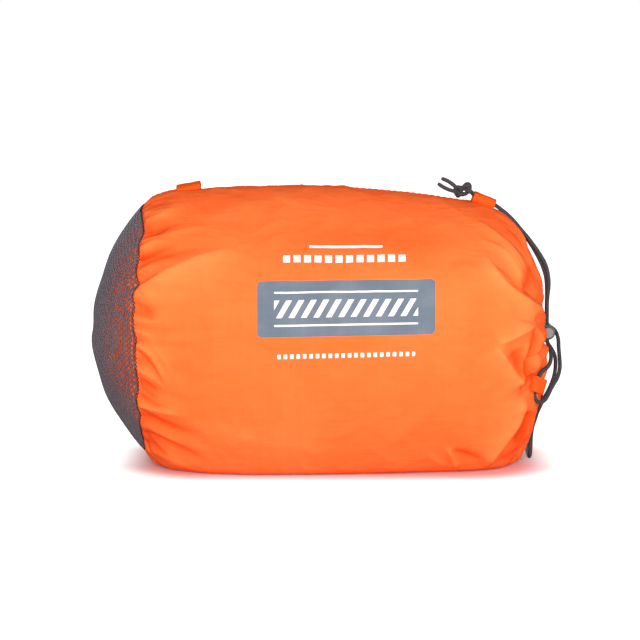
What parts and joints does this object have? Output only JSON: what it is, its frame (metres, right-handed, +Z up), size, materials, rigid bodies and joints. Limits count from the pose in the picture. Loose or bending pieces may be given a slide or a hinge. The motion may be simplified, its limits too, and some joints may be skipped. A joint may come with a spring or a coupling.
{
  "type": "bothy bag",
  "caption": "Group emergency shelter packed in its stuff sack, with a net end, webbing tabs, drawcord and sprung cord lock.",
  "frame": {"origin": "on the ground, under the middle of the sack's length and depth", "axes": "+X along the sack towards its gathered mouth, -Y towards the viewer of the picture, +Z up"},
  "size_m": [0.258, 0.1642, 0.1557],
  "materials": {
    "ripstop": "soft satin",
    "tape": "matte",
    "net": "matte",
    "cord": "matte",
    "lock_shell": "gloss",
    "lock_button": "satin",
    "spring_wire": "bright",
    "window_film": "clear"
  },
  "bodies": {
    "root": {"sack_body": "ripstop", "net_end": "net", "net_seam_tape": "net", "top_seam": "tape", "rear_tab": "tape", "mouth_top_tab": "tape", "mouth_side_tab": "tape", "mouth_hem": "ripstop", "channel_cord": "cord", "canopy_roll": "ripstop", "seat_panel_lower": "tape", "seat_panel_upper": "tape", "window_roll": "window_film", "vent_sleeve": "net", "drawcord_knot": "cord", "cord_tail_upper": "cord", "cord_tail_lower": "cord", "cord_run_front": "cord", "cord_run_back": "cord"},
    "cord_lock": {"lock_barrel": "lock_shell", "lock_spring": "spring_wire"},
    "lock_button": {"lock_plunger": "lock_button"}
  },
  "joints": [
    {"name": "lock_slide", "type": "slide", "parent": "root", "child": "cord_lock", "axis": [0, 0, 1], "range_m": [0, 0.012]},
    {"name": "plunger_press", "type": "slide", "parent": "cord_lock", "child": "lock_button", "axis": [0, 1, 0], "range_m": [0, 0.0022], "stiffness_N_per_m": 1500, "springref_m": -0.0008, "deforming": ["lock_spring"]}
  ]
}
